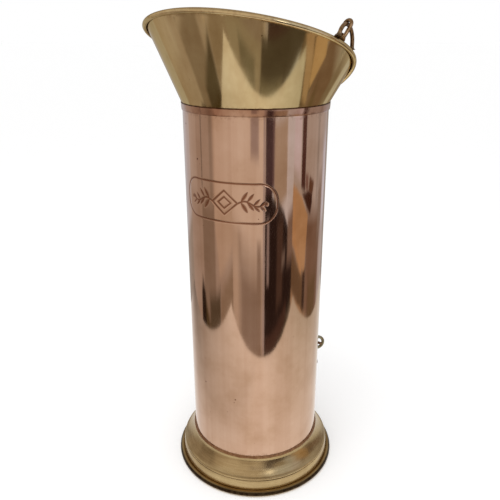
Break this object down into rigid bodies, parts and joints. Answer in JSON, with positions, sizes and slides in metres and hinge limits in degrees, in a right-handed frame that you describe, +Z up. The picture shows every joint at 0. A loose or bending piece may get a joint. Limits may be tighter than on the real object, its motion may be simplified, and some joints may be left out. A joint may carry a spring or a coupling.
{
  "type": "copper measuring jug",
  "caption": "Tall copper measuring jug with a flared slanted brass mouth, a spun brass foot, a carrying chain hung across the mouth and a drop handle low on the back.",
  "frame": {"origin": "centre of the foot's standing ring, on the floor", "axes": "+Z up along the tube, -Y toward the pouring side, X across the jug from ear to ear"},
  "size_m": [0.1908, 0.1813, 0.4526],
  "materials": {
    "polished_copper": "polished copper sheet",
    "polished_brass": "polished brass sheet",
    "brown_brass": "aged brown brass wire"
  },
  "bodies": {
    "jug": {"copper_tube": "polished_copper", "copper_collar": "polished_copper", "bottom_disc": "polished_copper", "foot_skirt": "polished_brass", "foot_roll": "brown_brass", "mouth_flare": "polished_brass", "rim_core_wire": "polished_brass", "ear_right": "brown_brass", "ear_left": "brown_brass", "staple_right": "brown_brass", "staple_left": "brown_brass"},
    "carrying_chain": {"chain_link_01": "brown_brass", "chain_link_02": "brown_brass", "chain_link_03": "brown_brass", "chain_link_04": "brown_brass", "chain_link_05": "brown_brass", "chain_link_06": "brown_brass", "chain_link_07": "brown_brass", "chain_link_08": "brown_brass", "chain_link_09": "brown_brass", "chain_link_10": "brown_brass", "chain_link_11": "brown_brass", "chain_link_12": "brown_brass", "chain_link_13": "brown_brass", "chain_link_14": "brown_brass", "chain_link_15": "brown_brass", "chain_link_16": "brown_brass", "chain_link_17": "brown_brass", "chain_link_18": "brown_brass", "chain_link_19": "brown_brass", "chain_link_20": "brown_brass", "chain_link_21": "brown_brass"},
    "drop_handle": {"drop_handle": "brown_brass"}
  },
  "joints": [
    {"name": "chain_swing", "type": "hinge", "parent": "jug", "child": "carrying_chain", "pos_m": [0, -0.01465, 0.42799], "axis": [1, 0, 0], "range_deg": [-55, 31]},
    {"name": "handle_swing", "type": "hinge", "parent": "jug", "child": "drop_handle", "pos_m": [0, 0.05037, 0.1197], "axis": [1, 0, 0], "range_deg": [0, 120]}
  ]
}
